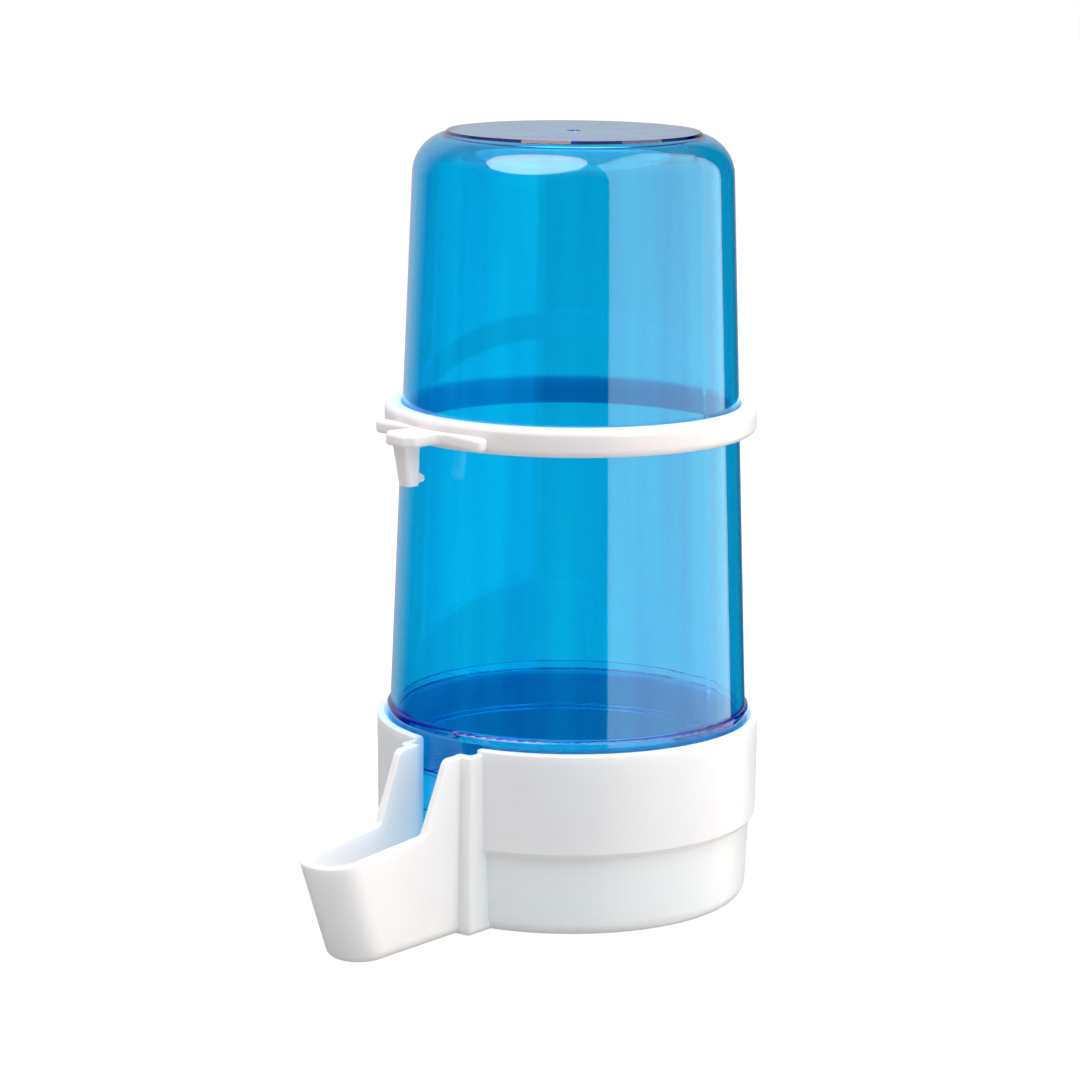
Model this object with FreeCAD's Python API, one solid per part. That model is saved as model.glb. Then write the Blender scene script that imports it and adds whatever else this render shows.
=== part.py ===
import FreeCAD, Part
import math
import os

# Cage-mounted siphon drinker, in millimetres.
# +Z is up. The origin is on the jar's axis at the base's flat underside, and the spout
# points along -Y. Radii are measured from the jar's axis.

# ---- jar ----
JAR_HEIGHT = 161.8            # top of the raised disc above the underside of the base
JAR_WALL = 1.4
MOUTH_Z = 19.6                # the mouth stands on the base's ledge and sets the water level
LIP_TOP_Z = 22.8
LIP_RADIUS = 37.7
SKIRT_RADIUS = 37.4
GUIDE_BEAD_Z = 30.2           # bead that centres the skirt inside the base
GUIDE_BEAD_RADIUS = 37.95
GUIDE_BEAD_HEIGHT = 1.2
SEAT_BEAD_Z = 39.1            # bead just above the base's rim
SEAT_BEAD_RADIUS = 38.35
SEAT_BEAD_HEIGHT = 2.1
WALL_FOOT_RADIUS = 37.7       # wall's outer radius just above the seat bead
WALL_TAPER_DEG = 2.17         # the wall leans in towards the top
SHOULDER_RADIUS = 8.75
DISC_RADIUS = 26.3
DISC_RISE = 0.3
DISC_EDGE_RUN = 0.6           # the disc's edge slopes down to the shoulder over this width
GATE_RADIUS = 1.1
GATE_HEIGHT = 0.35

# ---- base: cup ----
RIM_Z = 38.8
CUP_RADIUS = 40.5
CUP_STEP_TOP_Z = 17.9         # the outside steps in below here, under the ledge inside
CUP_STEP_TOP_RADIUS = 40.25
CUP_STEP_LOW_Z = 16.6
CUP_STEP_LOW_RADIUS = 39.0
CUP_FOOT_RADIUS = 38.35
CUP_FOOT_ROUND = 2.8
CUP_BORE_RADIUS = 38.25
CUP_WELL_RADIUS = 36.4        # below the ledge
CUP_FLOOR = 2.0
CUP_WELL_ROUND = 2.4
RIM_CHAMFER = 0.8
EDGE_ROUND = 0.4

# ---- base: spout ----
SPOUT_WALL = 1.75
SPOUT_RIM_Z = 23.4            # trough's rim at the cheeks, from where it dips
NOSE_RIM_Z = 21.5             # to here at the nose
SPOUT_HALF_WIDTH_LOW = 6.7    # outside, at the underside
SPOUT_HALF_WIDTH_RIM = 7.0    # outside, at the nose's rim
NOSE_REACH_LOW = 72.6         # nose's distance from the axis, at the underside
NOSE_REACH_RIM = 80.9         # and at its rim
SPOUT_FOOT_ROUND = 2.4
HOLLOW_FOOT_ROUND = 1.4
BRIM_ROUND_OUT = 0.4
BRIM_ROUND_IN = 0.35
CHEEK_TOP_Z = 38.0
CHEEK_TOP_REACH = 47.6        # the cheeks' sloping front edge, from here at the top
CHEEK_FOOT_REACH = 54.2       # to here at the trough's rim
CHEEK_CORNER_ROUND = 2.0
CHEEK_FOOT_CORNER_ROUND = 1.0
ROOT_HALF_WIDTH = 9.5         # wider root where the spout leaves the cup
ROOT_WALL = 1.3
ROOT_REACH = 43.5
ROOT_CORNER_ROUND = 1.3
ROOT_FOOT_ROUND = 1.6

# ---- cage ring ----
RING_LOW_Z = 99.5
RING_HEIGHT = 5.9
RING_WALL = 3.3
RING_GAP = 0.25               # clearance to the jar's taper where the ring sits
RING_CORNER_ROUND = 1.5
RING_LEAD_IN = 0.5
RING_TURN_DEG = -9.5          # the clip's place round the jar, from the spout
PLATE_LOW_Z = 100.5
PLATE_THICKNESS = 2.6
TAB_REACH = 48.0
TAB_END_HALF_WIDTH = 2.5
TAB_SHOULDER_REACH = 45.9
TAB_HALF_WIDTH = 4.7
TAB_NECK_HALF_WIDTH = 4.1
WING_LINE = 39.4              # the wings' front edge, from the axis
WING_BEND_X = 11.2            # from here the wings bend outwards
WING_TIP_X = 16.6
WING_TIP_REACH = 40.1
WING_TIP_WIDTH = 3.4
WING_TIP_ROUND = 1.6
CLIP_EDGE_ROUND = 0.7
PRONG_LOW_Z = 92.0
PRONG_INNER_REACH = 42.4
PRONG_OUTER_REACH = 47.0      # at the plate
PRONG_OUTER_REACH_LOW = 45.4  # at the tip
PRONG_HALF_WIDTH = 2.15
PRONG_HALF_WIDTH_LOW = 1.7
PRONG_CORNER_ROUND = 0.7
BARB_HALF_WIDTH = 1.1
BARB_REACH = 40.7
BARB_LOW_Z = 92.9
BARB_TOP_Z = 94.9

Z_AXIS = FreeCAD.Vector(0, 0, 1)
ORIGIN = FreeCAD.Vector(0, 0, 0)


class Outline:
    """A flat path of lines and arcs; place() turns its two coordinates into a 3-D point."""

    def __init__(self, place, first, second):
        self.place = place
        self.edges = []
        self.start = (first, second)
        self.here = (first, second)

    def line(self, first, second):
        self.edges.append(Part.makeLine(self.place(*self.here), self.place(first, second)))
        self.here = (first, second)
        return self

    def arc(self, through, end):
        points = [self.place(*self.here), self.place(*through), self.place(*end)]
        self.edges.append(Part.Arc(*points).toShape())
        self.here = end
        return self

    def quarter(self, centre, end):
        """The short arc about centre from the current point to end."""
        radius = math.hypot(end[0] - centre[0], end[1] - centre[1])
        middle = ((self.here[0] + end[0]) / 2 - centre[0], (self.here[1] + end[1]) / 2 - centre[1])
        scale = radius / math.hypot(*middle)
        return self.arc((centre[0] + middle[0] * scale, centre[1] + middle[1] * scale), end)

    def bead(self, low, height, root_radius, bead_radius):
        """A bump with a half-round section on a wall that runs up the path."""
        self.line(root_radius, low)
        self.arc((bead_radius, low + height / 2), (root_radius, low + height))
        return self

    def face(self):
        self.line(*self.start)
        return Part.Face(Part.Wire(self.edges))


def rounded_face(place, corners):
    """A flat face from corners (first, second, radius), each one rounded by its radius."""
    rounds = []
    for index, (first, second, radius) in enumerate(corners):
        before = corners[index - 1]
        after = corners[(index + 1) % len(corners)]
        back = (before[0] - first, before[1] - second)
        ahead = (after[0] - first, after[1] - second)
        back = (back[0] / math.hypot(*back), back[1] / math.hypot(*back))
        ahead = (ahead[0] / math.hypot(*ahead), ahead[1] / math.hypot(*ahead))
        half_angle = math.acos(back[0] * ahead[0] + back[1] * ahead[1]) / 2
        reach = radius / math.tan(half_angle)
        inward = (back[0] + ahead[0], back[1] + ahead[1])
        offset = (radius / math.sin(half_angle) - radius) / math.hypot(*inward)
        rounds.append(((first + back[0] * reach, second + back[1] * reach),
                       (first + inward[0] * offset, second + inward[1] * offset),
                       (first + ahead[0] * reach, second + ahead[1] * reach)))
    path = Outline(place, *rounds[0][0])
    for start, middle, end in rounds:
        if start != path.here:
            path.line(*start)
        path.arc(middle, end)
    return path.face()


def radial(radius, height):
    return FreeCAD.Vector(radius, 0, height)


def revolve(outline):
    return outline.face().revolve(ORIGIN, Z_AXIS, 360)


def jar_wall_radius(height):
    rise = height - SEAT_BEAD_Z - SEAT_BEAD_HEIGHT
    return WALL_FOOT_RADIUS - rise * math.tan(math.radians(WALL_TAPER_DEG))


def make_reservoir():
    taper = math.radians(WALL_TAPER_DEG)
    shoulder_top = JAR_HEIGHT - DISC_RISE
    shoulder_z = shoulder_top - SHOULDER_RADIUS + SHOULDER_RADIUS * math.sin(taper)
    wall_top_radius = jar_wall_radius(shoulder_z)
    centre = (wall_top_radius - SHOULDER_RADIUS * math.cos(taper), shoulder_top - SHOULDER_RADIUS)

    def on_shoulder(radius, angle):
        return (centre[0] + radius * math.cos(angle), centre[1] + radius * math.sin(angle))

    disc_angle = math.acos((DISC_RADIUS + DISC_EDGE_RUN - centre[0]) / SHOULDER_RADIUS)
    inner_shoulder = SHOULDER_RADIUS - JAR_WALL
    lip_round = (LIP_RADIUS - SKIRT_RADIUS)
    seat_top = SEAT_BEAD_Z + SEAT_BEAD_HEIGHT

    path = Outline(radial, 0, centre[1] + inner_shoulder)
    path.line(centre[0], centre[1] + inner_shoulder)
    path.arc(on_shoulder(inner_shoulder, (taper + math.pi / 2) / 2), on_shoulder(inner_shoulder, taper))
    path.line(WALL_FOOT_RADIUS - JAR_WALL, seat_top)
    path.line(SKIRT_RADIUS - JAR_WALL, SEAT_BEAD_Z)
    path.line(SKIRT_RADIUS - JAR_WALL, MOUTH_Z)
    path.line(LIP_RADIUS - lip_round, MOUTH_Z)
    path.quarter((LIP_RADIUS - lip_round, MOUTH_Z + lip_round), (LIP_RADIUS, MOUTH_Z + lip_round))
    path.line(LIP_RADIUS, LIP_TOP_Z - lip_round)
    path.quarter((SKIRT_RADIUS, LIP_TOP_Z - lip_round), (SKIRT_RADIUS, LIP_TOP_Z))
    path.bead(GUIDE_BEAD_Z, GUIDE_BEAD_HEIGHT, SKIRT_RADIUS, GUIDE_BEAD_RADIUS)
    path.line(SKIRT_RADIUS, SEAT_BEAD_Z)
    seat_round = SEAT_BEAD_RADIUS - WALL_FOOT_RADIUS
    path.line(SEAT_BEAD_RADIUS - seat_round, SEAT_BEAD_Z)
    path.quarter((SEAT_BEAD_RADIUS - seat_round, SEAT_BEAD_Z + seat_round),
                 (SEAT_BEAD_RADIUS, SEAT_BEAD_Z + seat_round))
    path.line(SEAT_BEAD_RADIUS, seat_top - seat_round)
    path.quarter((SEAT_BEAD_RADIUS - seat_round, seat_top - seat_round), (WALL_FOOT_RADIUS, seat_top))
    path.line(wall_top_radius, shoulder_z)
    path.arc(on_shoulder(SHOULDER_RADIUS, (taper + disc_angle) / 2), on_shoulder(SHOULDER_RADIUS, disc_angle))
    path.line(DISC_RADIUS, JAR_HEIGHT)
    path.line(GATE_RADIUS + GATE_HEIGHT, JAR_HEIGHT)
    path.line(GATE_RADIUS, JAR_HEIGHT - GATE_HEIGHT)
    path.line(0, JAR_HEIGHT - GATE_HEIGHT)
    return revolve(path)


def make_cup_outside():
    path = Outline(radial, 0, 0)
    path.line(CUP_FOOT_RADIUS - CUP_FOOT_ROUND, 0)
    path.quarter((CUP_FOOT_RADIUS - CUP_FOOT_ROUND, CUP_FOOT_ROUND), (CUP_FOOT_RADIUS, CUP_FOOT_ROUND))
    path.line(CUP_STEP_LOW_RADIUS, CUP_STEP_LOW_Z)
    path.line(CUP_STEP_TOP_RADIUS, CUP_STEP_TOP_Z)
    path.line(CUP_RADIUS, RIM_Z - EDGE_ROUND)
    path.quarter((CUP_RADIUS - EDGE_ROUND, RIM_Z - EDGE_ROUND), (CUP_RADIUS - EDGE_ROUND, RIM_Z))
    path.line(0, RIM_Z)
    return revolve(path)


def make_cup_inside():
    well_corner = CUP_WELL_RADIUS - CUP_WELL_ROUND
    path = Outline(radial, 0, CUP_FLOOR)
    path.line(well_corner, CUP_FLOOR)
    path.quarter((well_corner, CUP_FLOOR + CUP_WELL_ROUND), (CUP_WELL_RADIUS, CUP_FLOOR + CUP_WELL_ROUND))
    path.line(CUP_WELL_RADIUS, MOUTH_Z)
    path.line(CUP_BORE_RADIUS, MOUTH_Z)
    path.line(CUP_BORE_RADIUS, RIM_Z - RIM_CHAMFER)
    path.line(CUP_BORE_RADIUS + RIM_CHAMFER, RIM_Z)
    path.line(CUP_BORE_RADIUS + RIM_CHAMFER, RIM_Z + 1)
    path.line(0, RIM_Z + 1)
    return revolve(path)


def channel_section(height, half_width, reach):
    """A round-nosed strip along -Y at one height, from the jar's axis out to reach."""

    def place(x, out):
        return FreeCAD.Vector(x, -out, height)

    nose_centre = reach - half_width
    path = Outline(place, -half_width, 0)
    path.line(-half_width, nose_centre)
    path.arc((0, reach), (half_width, nose_centre))
    path.line(half_width, 0)
    path.face()
    return Part.Wire(path.edges)


def make_channel(inset, low_z, top_z):
    """The spout's drafted body between two heights; inset makes the hollow inside it."""
    width_draft = (SPOUT_HALF_WIDTH_RIM - SPOUT_HALF_WIDTH_LOW) / NOSE_RIM_Z
    nose_draft = (NOSE_REACH_RIM - NOSE_REACH_LOW) / NOSE_RIM_Z
    sections = []
    for height in (low_z, top_z):
        half_width = SPOUT_HALF_WIDTH_LOW + width_draft * height - inset
        reach = NOSE_REACH_LOW + nose_draft * height - inset
        sections.append(channel_section(height, half_width, reach))
    return Part.makeLoft(sections, True, True)


def make_root(half_width, reach, corner_round, low_z, top_z):
    """The wider stretch of the spout next to the cup."""

    def place(x, out):
        return FreeCAD.Vector(x, -out, low_z)

    side = half_width - corner_round
    front = reach - corner_round
    path = Outline(place, -half_width, 0)
    path.line(-half_width, front)
    path.quarter((-side, front), (-side, reach))
    path.line(side, reach)
    path.quarter((side, front), (half_width, front))
    path.line(half_width, 0)
    return path.face().extrude(FreeCAD.Vector(0, 0, top_z - low_z))


def make_cheek_cutter():
    """What is cut away above the trough's dipping rim, in front of the cheeks' sloping edge."""
    half_span = 2 * ROOT_HALF_WIDTH

    def place(out, height):
        return FreeCAD.Vector(-half_span, -out, height)

    run = CHEEK_FOOT_REACH - CHEEK_TOP_REACH
    rise = CHEEK_TOP_Z - SPOUT_RIM_Z
    steepness = math.atan2(rise, run)
    along = (math.cos(steepness), -math.sin(steepness))
    dip = math.atan2(SPOUT_RIM_Z - NOSE_RIM_Z, NOSE_REACH_RIM - CHEEK_FOOT_REACH)
    beyond = 2 * NOSE_REACH_RIM
    beyond_z = SPOUT_RIM_Z - (beyond - CHEEK_FOOT_REACH) * math.tan(dip)

    top_corner = (CHEEK_TOP_REACH, CHEEK_TOP_Z)
    top_tangent = CHEEK_CORNER_ROUND * math.tan(steepness / 2)
    top_from = (top_corner[0] - top_tangent, CHEEK_TOP_Z)
    top_to = (top_corner[0] + along[0] * top_tangent, top_corner[1] + along[1] * top_tangent)
    foot_tangent = CHEEK_FOOT_CORNER_ROUND * math.tan((steepness - dip) / 2)
    foot_from = (CHEEK_FOOT_REACH - along[0] * foot_tangent, SPOUT_RIM_Z - along[1] * foot_tangent)
    foot_to = (CHEEK_FOOT_REACH + foot_tangent * math.cos(dip), SPOUT_RIM_Z - foot_tangent * math.sin(dip))
    foot_centre = (foot_to[0] + CHEEK_FOOT_CORNER_ROUND * math.sin(dip),
                   foot_to[1] + CHEEK_FOOT_CORNER_ROUND * math.cos(dip))

    path = Outline(place, *top_from)
    path.quarter((top_from[0], CHEEK_TOP_Z - CHEEK_CORNER_ROUND), top_to)
    path.line(*foot_from)
    path.quarter(foot_centre, foot_to)
    path.line(beyond, beyond_z)
    path.line(beyond, CHEEK_TOP_Z + 1)
    path.line(top_from[0], CHEEK_TOP_Z + 1)
    return path.face().extrude(FreeCAD.Vector(2 * half_span, 0, 0))


def edges_at_height(shape, height, out_from):
    """Edges that lie flat at a height and reach further along -Y than out_from."""
    found = []
    for edge in shape.Edges:
        box = edge.BoundBox
        flat = abs(box.ZMin - height) < 0.01 and abs(box.ZMax - height) < 0.01
        if flat and box.YMin < -out_from:
            found.append(edge)
    return found


def brim_edges(shape, surface):
    """Edges along the spout's rim and cheeks that lie on a surface, without those across its walls."""
    found = []
    for edge in shape.Edges:
        box = edge.BoundBox
        across = abs(box.YMax - box.YMin) < 0.001
        middle = Part.Vertex(edge.valueAt((edge.FirstParameter + edge.LastParameter) / 2))
        if box.ZMin > NOSE_RIM_Z - EDGE_ROUND and not across and surface.distToShape(middle)[0] < 0.001:
            found.append(edge)
    return found


def make_spout(hollow):
    """The channel with its cheeks, hollowed, with rounded feet and brims."""
    whole = make_channel(0, 0, CHEEK_TOP_Z)
    whole = whole.makeFillet(SPOUT_FOOT_ROUND, edges_at_height(whole, 0, ROOT_REACH))
    spout = whole.cut(make_cheek_cutter())
    spout = spout.makeFillet(BRIM_ROUND_OUT, brim_edges(spout, whole.Shells[0]))
    spout = spout.cut(hollow)
    return spout.makeFillet(BRIM_ROUND_IN, brim_edges(spout, hollow.Shells[0]))


def make_base_trough():
    hollow = make_channel(SPOUT_WALL, CUP_FLOOR, RIM_Z + 1)
    hollow = hollow.makeFillet(HOLLOW_FOOT_ROUND, edges_at_height(hollow, CUP_FLOOR, 0))
    root = make_root(ROOT_HALF_WIDTH, ROOT_REACH, ROOT_CORNER_ROUND, 0, CHEEK_TOP_Z)
    root = root.makeFillet(ROOT_FOOT_ROUND, edges_at_height(root, 0, CUP_RADIUS))
    root = root.makeFillet(BRIM_ROUND_OUT, edges_at_height(root, CHEEK_TOP_Z, CUP_RADIUS))
    inner_root = make_root(ROOT_HALF_WIDTH - ROOT_WALL, ROOT_REACH - SPOUT_WALL, ROOT_CORNER_ROUND / 2,
                           CUP_FLOOR, RIM_Z + 1)
    body = make_spout(hollow).fuse(root).fuse(make_cup_outside())
    for space in (inner_root, make_cup_inside(), hollow):
        body = body.cut(space)
    return body.removeSplitter()


def make_ring_band():
    low_bore = jar_wall_radius(RING_LOW_Z) + RING_GAP
    top_z = RING_LOW_Z + RING_HEIGHT
    top_bore = jar_wall_radius(top_z) + RING_GAP
    outer = low_bore + RING_WALL
    corner = outer - RING_CORNER_ROUND
    path = Outline(radial, low_bore, RING_LOW_Z)
    path.line(corner, RING_LOW_Z)
    path.quarter((corner, RING_LOW_Z + RING_CORNER_ROUND), (outer, RING_LOW_Z + RING_CORNER_ROUND))
    path.line(outer, top_z - RING_CORNER_ROUND)
    path.quarter((corner, top_z - RING_CORNER_ROUND), (corner, top_z))
    path.line(top_bore + RING_LEAD_IN, top_z)
    path.quarter((top_bore + RING_LEAD_IN, top_z - RING_LEAD_IN), (top_bore, top_z - RING_LEAD_IN))
    return revolve(path)


def make_clip_plate():
    """The flat tab and its two wings, as one outline that is closed inside the ring's wall."""

    def place(x, out):
        return FreeCAD.Vector(x, -out, PLATE_LOW_Z)

    closing_line = jar_wall_radius(PLATE_LOW_Z) + RING_GAP + RING_WALL / 4
    half = [
        (TAB_END_HALF_WIDTH, TAB_REACH, 2.0),
        (TAB_HALF_WIDTH, TAB_SHOULDER_REACH, 1.4),
        (TAB_NECK_HALF_WIDTH, WING_LINE, 1.7),
        (WING_BEND_X, WING_LINE, 6.0),
        (WING_TIP_X, WING_TIP_REACH, WING_TIP_ROUND),
        (WING_TIP_X, WING_TIP_REACH - WING_TIP_WIDTH, WING_TIP_ROUND),
        (WING_TIP_X / 2, closing_line, 0.5),
    ]
    mirrored = [(-x, out, corner_round) for x, out, corner_round in reversed(half)]
    plate = rounded_face(place, half + mirrored).extrude(FreeCAD.Vector(0, 0, PLATE_THICKNESS))
    flat_edges = edges_at_height(plate, PLATE_LOW_Z, 0)
    flat_edges += edges_at_height(plate, PLATE_LOW_Z + PLATE_THICKNESS, 0)
    return plate.makeFillet(CLIP_EDGE_ROUND, flat_edges)


def make_prong():
    """The tapered prong under the tab, with a barb that faces the jar."""
    wires = []
    levels = ((PRONG_LOW_Z, PRONG_HALF_WIDTH_LOW, PRONG_OUTER_REACH_LOW),
              (PLATE_LOW_Z + PLATE_THICKNESS / 2, PRONG_HALF_WIDTH, PRONG_OUTER_REACH))
    for height, half_width, outer in levels:

        def place(x, out, height=height):
            return FreeCAD.Vector(x, -out, height)

        corners = [(-half_width, PRONG_INNER_REACH, PRONG_CORNER_ROUND),
                   (half_width, PRONG_INNER_REACH, PRONG_CORNER_ROUND),
                   (half_width, outer, PRONG_CORNER_ROUND),
                   (-half_width, outer, PRONG_CORNER_ROUND)]
        wires.append(rounded_face(place, corners).OuterWire)
    shaft = Part.makeLoft(wires, True, True)
    shaft = shaft.makeFillet(PRONG_CORNER_ROUND / 2, edges_at_height(shaft, PRONG_LOW_Z, 0))

    def place_barb(out, height):
        return FreeCAD.Vector(-BARB_HALF_WIDTH, -out, height)

    buried = PRONG_INNER_REACH + 1.2
    barb = [(buried, BARB_LOW_Z - 0.4, 0.1), (PRONG_INNER_REACH, BARB_LOW_Z - 0.4, 0.1),
            (BARB_REACH, BARB_LOW_Z, 0.4), (BARB_REACH, BARB_LOW_Z + 1.0, 0.4),
            (PRONG_INNER_REACH, BARB_TOP_Z, 0.4), (buried, BARB_TOP_Z, 0.1)]
    return shaft.fuse(rounded_face(place_barb, barb).extrude(FreeCAD.Vector(2 * BARB_HALF_WIDTH, 0, 0)))


def make_cage_ring():
    ring = make_ring_band().fuse(make_clip_plate()).fuse(make_prong()).removeSplitter()
    ring.rotate(ORIGIN, Z_AXIS, RING_TURN_DEG)
    return ring


def main():
    os.makedirs("parts", exist_ok=True)
    pieces = {
        "reservoir": make_reservoir(),
        "base_trough": make_base_trough(),
        "cage_ring": make_cage_ring(),
    }
    for name, shape in pieces.items():
        shape.exportStep("parts/" + name + ".step")
        box = shape.BoundBox
        print(name, shape.isValid(), len(shape.Solids), round(shape.Volume / 1000, 2), "cc",
              [round(value, 2) for value in (box.XMin, box.XMax, box.YMin, box.YMax, box.ZMin, box.ZMax)])


main()
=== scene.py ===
import math

import bpy
from mathutils import Matrix, Quaternion, Vector

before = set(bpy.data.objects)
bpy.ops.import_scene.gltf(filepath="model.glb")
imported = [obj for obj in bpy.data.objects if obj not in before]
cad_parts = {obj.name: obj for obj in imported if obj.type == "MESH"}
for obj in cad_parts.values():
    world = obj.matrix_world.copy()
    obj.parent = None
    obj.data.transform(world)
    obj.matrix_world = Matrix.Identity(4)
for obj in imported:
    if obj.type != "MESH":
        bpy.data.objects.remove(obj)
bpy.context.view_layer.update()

# A siphon drinker: clear blue jar, white base with a drinking spout, white cage ring.
# Everything is in metres. The spout points along -Y. Bearings of the camera and lights are
# in degrees round the jar's axis; a light's bearing is counted from the camera, positive
# to the camera's right.

# ---- camera ----
CAMERA_BEARING = 38.5         # from the spout
CAMERA_DISTANCE = 0.770       # from the jar's axis, level
CAMERA_HEIGHT = 0.2247
CAMERA_PITCH = 10.97          # looking down
CAMERA_YAW = 0.461            # turned left of the axis
CAMERA_ROLL = 0.55
LENS_MM = 123.8
SENSOR_MM = 36.0

# ---- studio: the floor, and the world's brightness by what sees it ----
FLOOR_RADIUS = 6.0
FLOOR_RIM_POINTS = 96
FLOOR_Z = -0.0002
FLOOR_GLOW = 0.95             # as it is seen
FLOOR_FILL = 0.44             # as it lights dull surfaces
FLOOR_ALBEDO = 0.14
BACKDROP_WHITE = 1.02         # seen straight, or straight through the jar
BACKDROP_FILL = 1.0           # what the backdrop adds to dull surfaces
ROOM_FILL = 0.05              # and the camera's side of the room
ROOM_IN_REFLECTIONS = 0.01    # in the outer gloss
ROOM_INSIDE_JAR = 0.45        # the camera's side, reflected within the jar's walls
BACKDROP_IN_REFLECTIONS = 0.76
BACKDROP_BEARING = -164.0     # of its middle, as the gloss shows it
BACKDROP_ELEVATION = 14.0
CEILING_IN_REFLECTIONS = 0.7
LIGHT_BOUNCES = 64            # light that runs inside the jar's flat top turns back this often

# Where each zone of the world fades: degrees from its middle, (faded out, still full).
FILL_FADE = (107, 53)
INSIDE_JAR_FADE = (60, 37)
BACKDROP_FADE = (42.0, 22.0)
CEILING_FADE = (64.0, 30.0)

# ---- lamps ----
LAMP_AIM_HEIGHT = 0.10
PANEL_AIM_HEIGHT = 0.55
UMBRELLA_BEARING = -42
UMBRELLA_SIZE = (1.04,)       # diameter
UMBRELLA_COLOUR = (1.0, 0.93, 0.90)
PANEL_SHINE_COLOUR = (1.0, 0.77, 0.55)    # warm, to come back near white off the blue jar
UMBRELLA_SHINE_COLOUR = (1.0, 0.68, 0.45)

# ---- materials ----
POLYSTYRENE_IOR = 1.59
JAR_TINT = (0.10, 0.71, 0.855)            # of one wall
FLOW_PALER = (1.1, 1.08, 1.03)            # the tint's share in the palest flow lines
FLOW_DEEPER = (0.9, 0.92, 0.97)           # and in the deepest
JAR_TINT_FOR_LAMPS = tuple(value ** 0.25 for value in JAR_TINT)    # of one face, paler than seen
JAR_ABSORPTION = (900.0, 105.0, 9.0)      # per metre, red, green and blue
JAR_GLOSS = (0.010, 0.035)                # roughness, clean and handled
RING_RUB_ZONE = (0.094, 0.112)            # heights where the ring scuffs the jar
RING_RUB_SOFT = 0.006
WHITE_IOR = 1.49
WHITE_SOAK = 0.8                          # share of the light that soaks in
WHITE_SOAK_DEPTH = 0.0025
WHITE_SOAK_COLOUR = (1.0, 0.95, 0.92)     # how far each colour gets
WHITE_GLOSS = (0.29, 0.42)                # roughness, plain and worn
WHITE_WORN = (0.955, 0.95, 0.94)          # the colour's share where it is worn
CLOUD_TONE = 0.4                          # how much of that the tone clouds take
FOOT_WEAR_ZONE = (-0.001, 0.001)
FOOT_WEAR_HEIGHT = 0.005
BASE_WHITE = (0.945, 0.91, 0.90)
RING_WHITE = (0.865, 0.825, 0.82)

# Depths of the relief, in metres.
FLOW_DEPTH = 0.000006
WAVE_DEPTH = 0.00003
GRAIN_DEPTH = 0.000012
SINK_DEPTH = 0.00004

# The range of each noise that is spread over 0 to 1.
FLOW_RANGE = (0.3, 0.7)
SCRATCH_RANGE = (0.55, 0.75)
SMUDGE_RANGE = (0.5, 0.8)
SCUFF_RANGE = (0.45, 0.7)
CLOUD_TONE_RANGE = (0.35, 0.7)
CLOUD_GLOSS_RANGE = (0.3, 0.75)

# Patterns: cycles per metre along X, Y and Z.
FLOW_LINES = (150, 150, 5)
WALL_WAVES = (28, 28, 9)
RUB_SCRATCHES = (260, 260, 5200)
SMUDGES = (55, 55, 38)
GRAIN = (2600, 2600, 2600)
SINK_MARKS = (45, 45, 60)
TONE_CLOUDS = (38, 38, 55)
FOOT_SCUFFS = (420, 420, 900)


def new_material(name):
    material = bpy.data.materials.new(name)
    material.use_nodes = True
    material.node_tree.nodes.clear()
    return material, material.node_tree


def add_node(tree, kind, **inputs):
    """A shader node with its inputs set by name; spaces in a name are written as _."""
    node = tree.nodes.new(kind)
    for name, value in inputs.items():
        node.inputs[name.replace("_", " ")].default_value = value
    return node


def add_math(tree, operation, first, second=0.0):
    """A maths node; each operand is a number or another node's output."""
    node = tree.nodes.new("ShaderNodeMath")
    node.operation = operation
    for socket, operand in zip(node.inputs, (first, second)):
        if isinstance(operand, (int, float)):
            socket.default_value = operand
        else:
            tree.links.new(operand, socket)
    return node.outputs[0]


def add_mix(tree, factor, low, high):
    """A number between low and high; each of the three is a number or an output."""
    node = tree.nodes.new("ShaderNodeMix")
    for name, operand in (("Factor", factor), ("A", low), ("B", high)):
        if isinstance(operand, (int, float)):
            node.inputs[name].default_value = operand
        else:
            tree.links.new(operand, node.inputs[name])
    return node.outputs[0]


def aim(obj, target):
    obj.rotation_mode = "QUATERNION"
    obj.rotation_quaternion = (target - obj.location).to_track_quat("-Z", "Y")


def add_object(name, data):
    obj = bpy.data.objects.new(name, data)
    bpy.context.scene.collection.objects.link(obj)
    return obj


def direction_to(bearing, elevation):
    """The direction from the jar's axis at a bearing from the camera, in degrees."""
    around = math.radians(CAMERA_BEARING + bearing)
    up = math.radians(elevation)
    return Vector((math.sin(around) * math.cos(up), -math.cos(around) * math.cos(up), math.sin(up)))


# ---------------------------------------------------------------- camera


def make_camera():
    level = direction_to(0, 0)
    data = bpy.data.cameras.new("camera")
    data.lens = LENS_MM
    data.sensor_width = SENSOR_MM
    data.clip_start = 0.05
    data.clip_end = 50.0
    camera = add_object("camera", data)
    heading = Matrix.Rotation(math.radians(CAMERA_YAW), 3, "Z") @ (-level)
    pitch = math.radians(CAMERA_PITCH)
    forward = heading * math.cos(pitch) - Vector((0, 0, math.sin(pitch)))
    turn = forward.to_track_quat("-Z", "Y").to_matrix()
    turn = turn @ Matrix.Rotation(math.radians(CAMERA_ROLL), 3, "Z")
    camera.matrix_world = Matrix.Translation(
        level * CAMERA_DISTANCE + Vector((0, 0, CAMERA_HEIGHT))) @ turn.to_4x4()
    bpy.context.scene.camera = camera


# ---------------------------------------------------------------- studio


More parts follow.
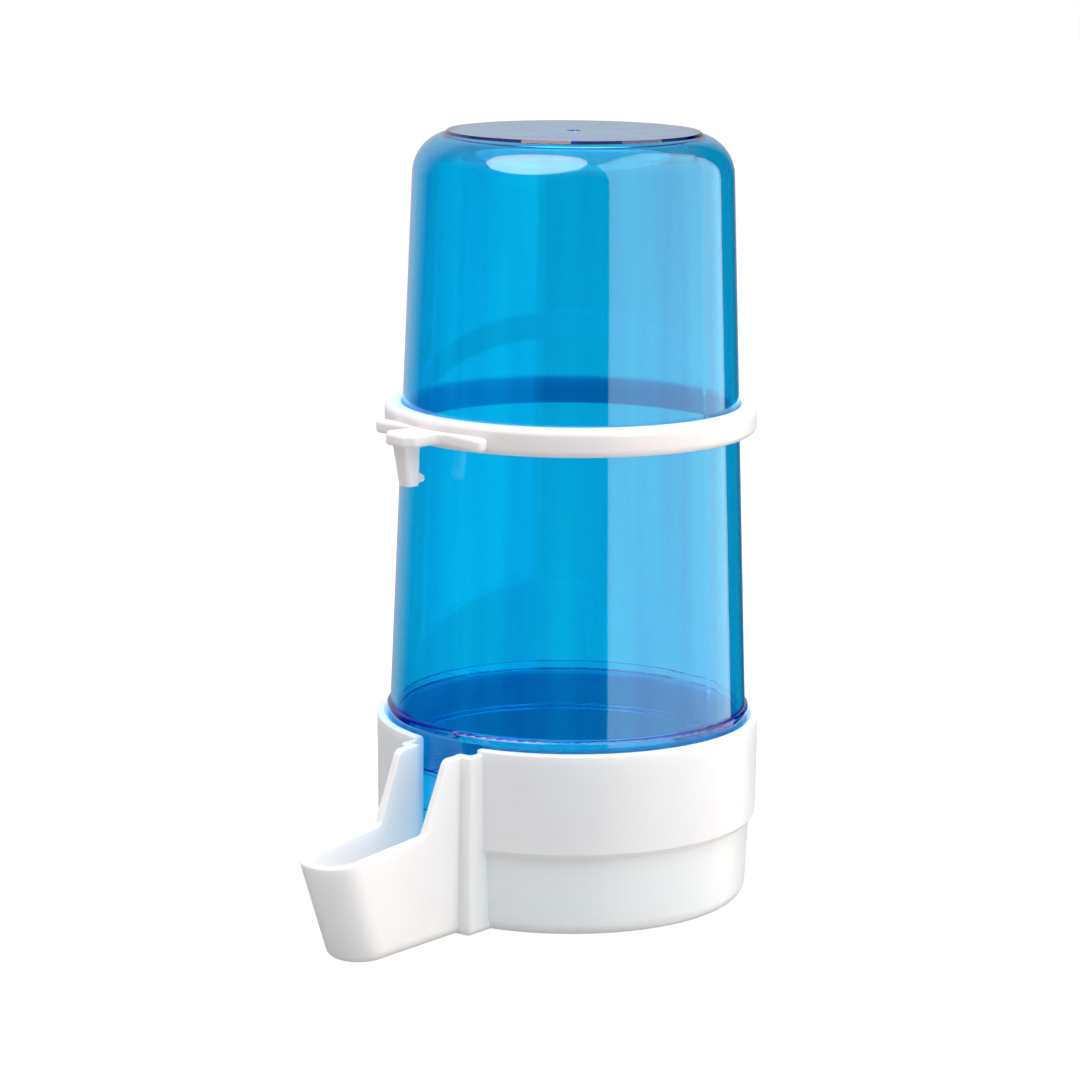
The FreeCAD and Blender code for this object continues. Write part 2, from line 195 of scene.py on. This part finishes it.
def make_floor():
    """A white disc; reflections pass through it, so that the lights show in full in the jar."""
    corners = []
    for k in range(FLOOR_RIM_POINTS):
        around = 2 * math.pi * k / FLOOR_RIM_POINTS
        corners.append((FLOOR_RADIUS * math.cos(around), FLOOR_RADIUS * math.sin(around), FLOOR_Z))
    mesh = bpy.data.meshes.new("floor")
    mesh.from_pydata(corners, [], [tuple(range(FLOOR_RIM_POINTS))])
    floor = add_object("floor", mesh)
    material, tree = new_material("floor_white")
    diffuse = add_node(tree, "ShaderNodeBsdfDiffuse", Color=(FLOOR_ALBEDO,) * 3 + (1,))
    glow = add_node(tree, "ShaderNodeEmission")
    both = add_node(tree, "ShaderNodeAddShader")
    path = add_node(tree, "ShaderNodeLightPath")
    tree.links.new(add_mix(tree, path.outputs["Is Diffuse Ray"], FLOOR_GLOW, FLOOR_FILL),
                   glow.inputs["Strength"])
    clear = add_node(tree, "ShaderNodeBsdfTransparent")
    either = add_node(tree, "ShaderNodeMixShader")
    output = add_node(tree, "ShaderNodeOutputMaterial")
    tree.links.new(diffuse.outputs[0], both.inputs[0])
    tree.links.new(glow.outputs[0], both.inputs[1])
    tree.links.new(add_math(tree, "GREATER_THAN", path.outputs["Glossy Depth"], 0.5), either.inputs[0])
    tree.links.new(both.outputs[0], either.inputs[1])
    tree.links.new(clear.outputs[0], either.inputs[2])
    tree.links.new(either.outputs[0], output.inputs["Surface"])
    material.cycles.emission_sampling = "NONE"
    mesh.materials.append(material)
    floor.visible_glossy = False


def facing(tree, middle, fade_angles):
    """1 near the middle direction, falling to 0 between the second and the first of two angles."""
    edge, core = fade_angles
    direction = add_node(tree, "ShaderNodeTexCoord")
    towards = tree.nodes.new("ShaderNodeVectorMath")
    towards.operation = "DOT_PRODUCT"
    towards.inputs[1].default_value = middle
    fade = add_node(tree, "ShaderNodeMapRange", From_Min=math.cos(math.radians(edge)),
                    From_Max=math.cos(math.radians(core)))
    tree.links.new(direction.outputs["Generated"], towards.inputs[0])
    tree.links.new(towards.outputs["Value"], fade.inputs["Value"])
    return fade.outputs[0]


def make_room():
    """A white backdrop, which also lights dull surfaces from behind, in a room that reflects dark."""
    world = bpy.data.worlds.new("room")
    world.use_nodes = True
    tree = world.node_tree
    tree.nodes.clear()
    path = add_node(tree, "ShaderNodeLightPath")
    behind = direction_to(180, 0)
    wide = facing(tree, behind, FILL_FADE)
    narrow = facing(tree, behind, INSIDE_JAR_FADE)
    backdrop = facing(tree, direction_to(BACKDROP_BEARING, BACKDROP_ELEVATION), BACKDROP_FADE)
    overhead = facing(tree, direction_to(0, 90), CEILING_FADE)

    fill = add_mix(tree, wide, ROOM_FILL, BACKDROP_FILL)
    seen = add_math(tree, "MAXIMUM", path.outputs["Is Camera Ray"], path.outputs["Is Transmission Ray"])
    direct = add_mix(tree, seen, fill, BACKDROP_WHITE)
    around = add_mix(tree, backdrop, ROOM_IN_REFLECTIONS, BACKDROP_IN_REFLECTIONS)
    above = add_math(tree, "MULTIPLY", overhead, CEILING_IN_REFLECTIONS)
    outer = add_math(tree, "MAXIMUM", around, above)
    inner = add_mix(tree, narrow, ROOM_INSIDE_JAR, BACKDROP_WHITE)
    inside = add_math(tree, "GREATER_THAN", path.outputs["Transmission Depth"], 0.5)
    mirrored = add_mix(tree, inside, outer, inner)
    reflected = add_math(tree, "GREATER_THAN", path.outputs["Glossy Depth"], 0.5)

    background = add_node(tree, "ShaderNodeBackground")
    output = add_node(tree, "ShaderNodeOutputWorld")
    tree.links.new(add_mix(tree, reflected, direct, mirrored), background.inputs["Strength"])
    tree.links.new(background.outputs[0], output.inputs["Surface"])
    bpy.context.scene.world = world


def hide_behind_glass(data):
    """Light that glass passes on to dull surfaces and reflects inside, but never shows straight through."""
    data.use_nodes = True
    tree = data.node_tree
    tree.nodes.clear()
    path = add_node(tree, "ShaderNodeLightPath")
    output = add_node(tree, "ShaderNodeOutputLight")
    glow = add_node(tree, "ShaderNodeEmission")
    straight = add_math(tree, "GREATER_THAN", path.outputs["Transmission Depth"], 0.5)
    bounces = add_math(tree, "ADD", path.outputs["Glossy Depth"], path.outputs["Diffuse Depth"])
    reflected = add_math(tree, "GREATER_THAN", bounces, 0.5)
    tree.links.new(add_mix(tree, straight, 1.0, reflected), glow.inputs["Strength"])
    tree.links.new(glow.outputs[0], output.inputs["Surface"])


def softbox(name, bearing, elevation, distance, size, radiance, round_shape=False,
            diffuse=True, glossy=True, centre_height=LAMP_AIM_HEIGHT, colour=(1, 1, 1), turn=0):
    """An area light aimed at the drinker and turned about the vertical; radiance is its brightness."""
    data = bpy.data.lights.new(name, "AREA")
    data.shape = "DISK" if round_shape else "RECTANGLE"
    data.size = size[0]
    area = math.pi / 4 * size[0] ** 2
    if not round_shape:
        data.size_y = size[1]
        area = size[0] * size[1]
    data.energy = radiance * math.pi * area
    data.color = colour
    light = add_object(name, data)
    target = Vector((0, 0, centre_height))
    light.location = target + distance * direction_to(bearing, elevation)
    aim(light, target)
    light.rotation_quaternion = Quaternion((0, 0, 1), math.radians(turn)) @ light.rotation_quaternion
    light.visible_camera = False
    hide_behind_glass(data)
    light.visible_diffuse = diffuse
    light.visible_glossy = glossy


def make_lights():
    """The panel and the umbrella each have one light for the gloss and one for dull surfaces."""
    softbox("panel_shine", bearing=58.2, elevation=0, distance=0.098, size=(0.20, 0.55), radiance=2.0,
            diffuse=False, colour=PANEL_SHINE_COLOUR, turn=19.6)
    softbox("panel", bearing=78.3, elevation=0, distance=0.6, size=(1.5, 2.4), radiance=1.4,
            glossy=False, centre_height=PANEL_AIM_HEIGHT)
    softbox("umbrella_shine", bearing=UMBRELLA_BEARING, elevation=59, distance=1.0, size=UMBRELLA_SIZE,
            radiance=6.2, round_shape=True, diffuse=False, colour=UMBRELLA_SHINE_COLOUR)
    softbox("umbrella", bearing=UMBRELLA_BEARING, elevation=35, distance=1.0, size=UMBRELLA_SIZE,
            radiance=0.72, round_shape=True, glossy=False, colour=UMBRELLA_COLOUR)
    softbox("ceiling", bearing=0, elevation=90, distance=1.0, size=(1.68,), radiance=2.85,
            round_shape=True, glossy=False)


# ---------------------------------------------------------------- materials


def noise_field(tree, stretch, detail=2.0, roughness=0.5, seed=0.0):
    """Noise from 0 to 1 on the piece itself; stretch is its cycles per metre along X, Y and Z."""
    place = add_node(tree, "ShaderNodeTexCoord")
    scale = add_node(tree, "ShaderNodeMapping", Scale=stretch, Location=(seed, seed, seed))
    noise = add_node(tree, "ShaderNodeTexNoise", Scale=1.0, Detail=detail, Roughness=roughness)
    tree.links.new(place.outputs["Object"], scale.inputs["Vector"])
    tree.links.new(scale.outputs[0], noise.inputs["Vector"])
    return noise.outputs["Fac"]


def height_band(tree, low, high, soft):
    """1 between two heights on the piece, falling to 0 over soft above and below."""
    place = add_node(tree, "ShaderNodeTexCoord")
    split = add_node(tree, "ShaderNodeSeparateXYZ")
    tree.links.new(place.outputs["Object"], split.inputs[0])
    rise = add_node(tree, "ShaderNodeMapRange", From_Min=low - soft, From_Max=low)
    fall = add_node(tree, "ShaderNodeMapRange", From_Min=high + soft, From_Max=high)
    tree.links.new(split.outputs["Z"], rise.inputs["Value"])
    tree.links.new(split.outputs["Z"], fall.inputs["Value"])
    return add_math(tree, "MULTIPLY", rise.outputs[0], fall.outputs[0])


def sharpen(tree, field, low, high):
    """Stretches the part of a field between low and high to 0 to 1."""
    ramp = add_node(tree, "ShaderNodeMapRange", From_Min=low, From_Max=high)
    ramp.interpolation_type = "SMOOTHSTEP"
    tree.links.new(field, ramp.inputs["Value"])
    return ramp.outputs[0]


def shade(colour, shares):
    return tuple(value * share for value, share in zip(colour, shares))


def colour_mix(tree, factor, plain, marked):
    node = tree.nodes.new("ShaderNodeMix")
    node.data_type = "RGBA"
    node.inputs["A"].default_value = plain + (1,)
    node.inputs["B"].default_value = marked + (1,)
    tree.links.new(factor, node.inputs["Factor"])
    return node.outputs["Result"]


def add_bump(tree, shader, layers):
    """Chains bumps; each layer is a height field and the depth in metres of its full range."""
    before = None
    for field, depth in layers:
        bump = add_node(tree, "ShaderNodeBump", Strength=1.0, Distance=depth)
        tree.links.new(field, bump.inputs["Height"])
        if before:
            tree.links.new(before, bump.inputs["Normal"])
        before = bump.outputs[0]
    tree.links.new(before, shader.inputs["Normal"])


def clear_blue_plastic():
    """Polished transparent moulding, with faint flow lines up the wall and scuffs where the ring rides."""
    material, tree = new_material("clear_blue_plastic")
    surface = add_node(tree, "ShaderNodeBsdfPrincipled", IOR=POLYSTYRENE_IOR, Transmission_Weight=1.0)

    flow = sharpen(tree, noise_field(tree, FLOW_LINES, detail=3.0), *FLOW_RANGE)
    waves = noise_field(tree, WALL_WAVES, detail=1.0, seed=3.1)
    scratches = noise_field(tree, RUB_SCRATCHES, detail=2.0, roughness=0.7, seed=7.7)
    smudges = noise_field(tree, SMUDGES, detail=4.0, roughness=0.6, seed=1.9)
    rubbed = add_math(tree, "MULTIPLY", height_band(tree, *RING_RUB_ZONE, soft=RING_RUB_SOFT),
                      sharpen(tree, scratches, *SCRATCH_RANGE))
    handled = add_math(tree, "MAXIMUM", rubbed, sharpen(tree, smudges, *SMUDGE_RANGE))

    tint = colour_mix(tree, flow, shade(JAR_TINT, FLOW_PALER), shade(JAR_TINT, FLOW_DEEPER))
    tree.links.new(tint, surface.inputs["Base Color"])
    tree.links.new(add_mix(tree, handled, *JAR_GLOSS), surface.inputs["Roughness"])
    add_bump(tree, surface, ((flow, FLOW_DEPTH), (waves, WAVE_DEPTH)))

    density = max(JAR_ABSORPTION)
    colour = tuple(1 - value / density for value in JAR_ABSORPTION) + (1,)
    absorb = add_node(tree, "ShaderNodeVolumeAbsorption", Color=colour, Density=density)
    for_lamps = add_node(tree, "ShaderNodeBsdfTransparent", Color=JAR_TINT_FOR_LAMPS + (1,))
    path = add_node(tree, "ShaderNodeLightPath")
    either = add_node(tree, "ShaderNodeMixShader")
    output = add_node(tree, "ShaderNodeOutputMaterial")
    tree.links.new(path.outputs["Is Shadow Ray"], either.inputs[0])
    tree.links.new(surface.outputs[0], either.inputs[1])
    tree.links.new(for_lamps.outputs[0], either.inputs[2])
    tree.links.new(either.outputs[0], output.inputs["Surface"])
    tree.links.new(absorb.outputs[0], output.inputs["Volume"])
    return material


def white_plastic(name, colour, seed):
    """Satin moulding that light soaks into: grain, uneven gloss, faint tone clouds, a scuffed foot."""
    material, tree = new_material(name)
    surface = add_node(tree, "ShaderNodeBsdfPrincipled", IOR=WHITE_IOR, Subsurface_Weight=WHITE_SOAK,
                       Subsurface_Scale=WHITE_SOAK_DEPTH, Subsurface_Radius=WHITE_SOAK_COLOUR)

    grain = noise_field(tree, GRAIN, detail=2.0, seed=seed)
    sinks = noise_field(tree, SINK_MARKS, detail=1.0, seed=seed + 2.3)
    clouds = noise_field(tree, TONE_CLOUDS, detail=3.0, roughness=0.55, seed=seed + 5.9)
    marks = noise_field(tree, FOOT_SCUFFS, detail=3.0, roughness=0.7, seed=seed + 8.4)
    foot = add_math(tree, "MULTIPLY", height_band(tree, *FOOT_WEAR_ZONE, soft=FOOT_WEAR_HEIGHT),
                    sharpen(tree, marks, *SCUFF_RANGE))
    faint = add_math(tree, "MULTIPLY", sharpen(tree, clouds, *CLOUD_TONE_RANGE), CLOUD_TONE)
    tone = add_math(tree, "MAXIMUM", faint, foot)

    tree.links.new(colour_mix(tree, tone, colour, shade(colour, WHITE_WORN)), surface.inputs["Base Color"])
    dulled = add_math(tree, "MAXIMUM", sharpen(tree, clouds, *CLOUD_GLOSS_RANGE), foot)
    tree.links.new(add_mix(tree, dulled, *WHITE_GLOSS), surface.inputs["Roughness"])
    add_bump(tree, surface, ((grain, GRAIN_DEPTH), (sinks, SINK_DEPTH)))

    output = add_node(tree, "ShaderNodeOutputMaterial")
    tree.links.new(surface.outputs[0], output.inputs["Surface"])
    return material


def finish_node(node, material):
    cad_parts[node].material_slots[0].material = material


def set_light_paths():
    scene = bpy.context.scene
    scene.view_settings.view_transform = "Standard"
    scene.cycles.max_bounces = LIGHT_BOUNCES
    scene.cycles.glossy_bounces = LIGHT_BOUNCES
    scene.cycles.transmission_bounces = LIGHT_BOUNCES


make_camera()
make_floor()
make_room()
make_lights()
set_light_paths()

finish_node("reservoir", clear_blue_plastic())
finish_node("base_trough", white_plastic("white_base_plastic", BASE_WHITE, seed=0.0))
finish_node("cage_ring", white_plastic("white_ring_plastic", RING_WHITE, seed=11.0))
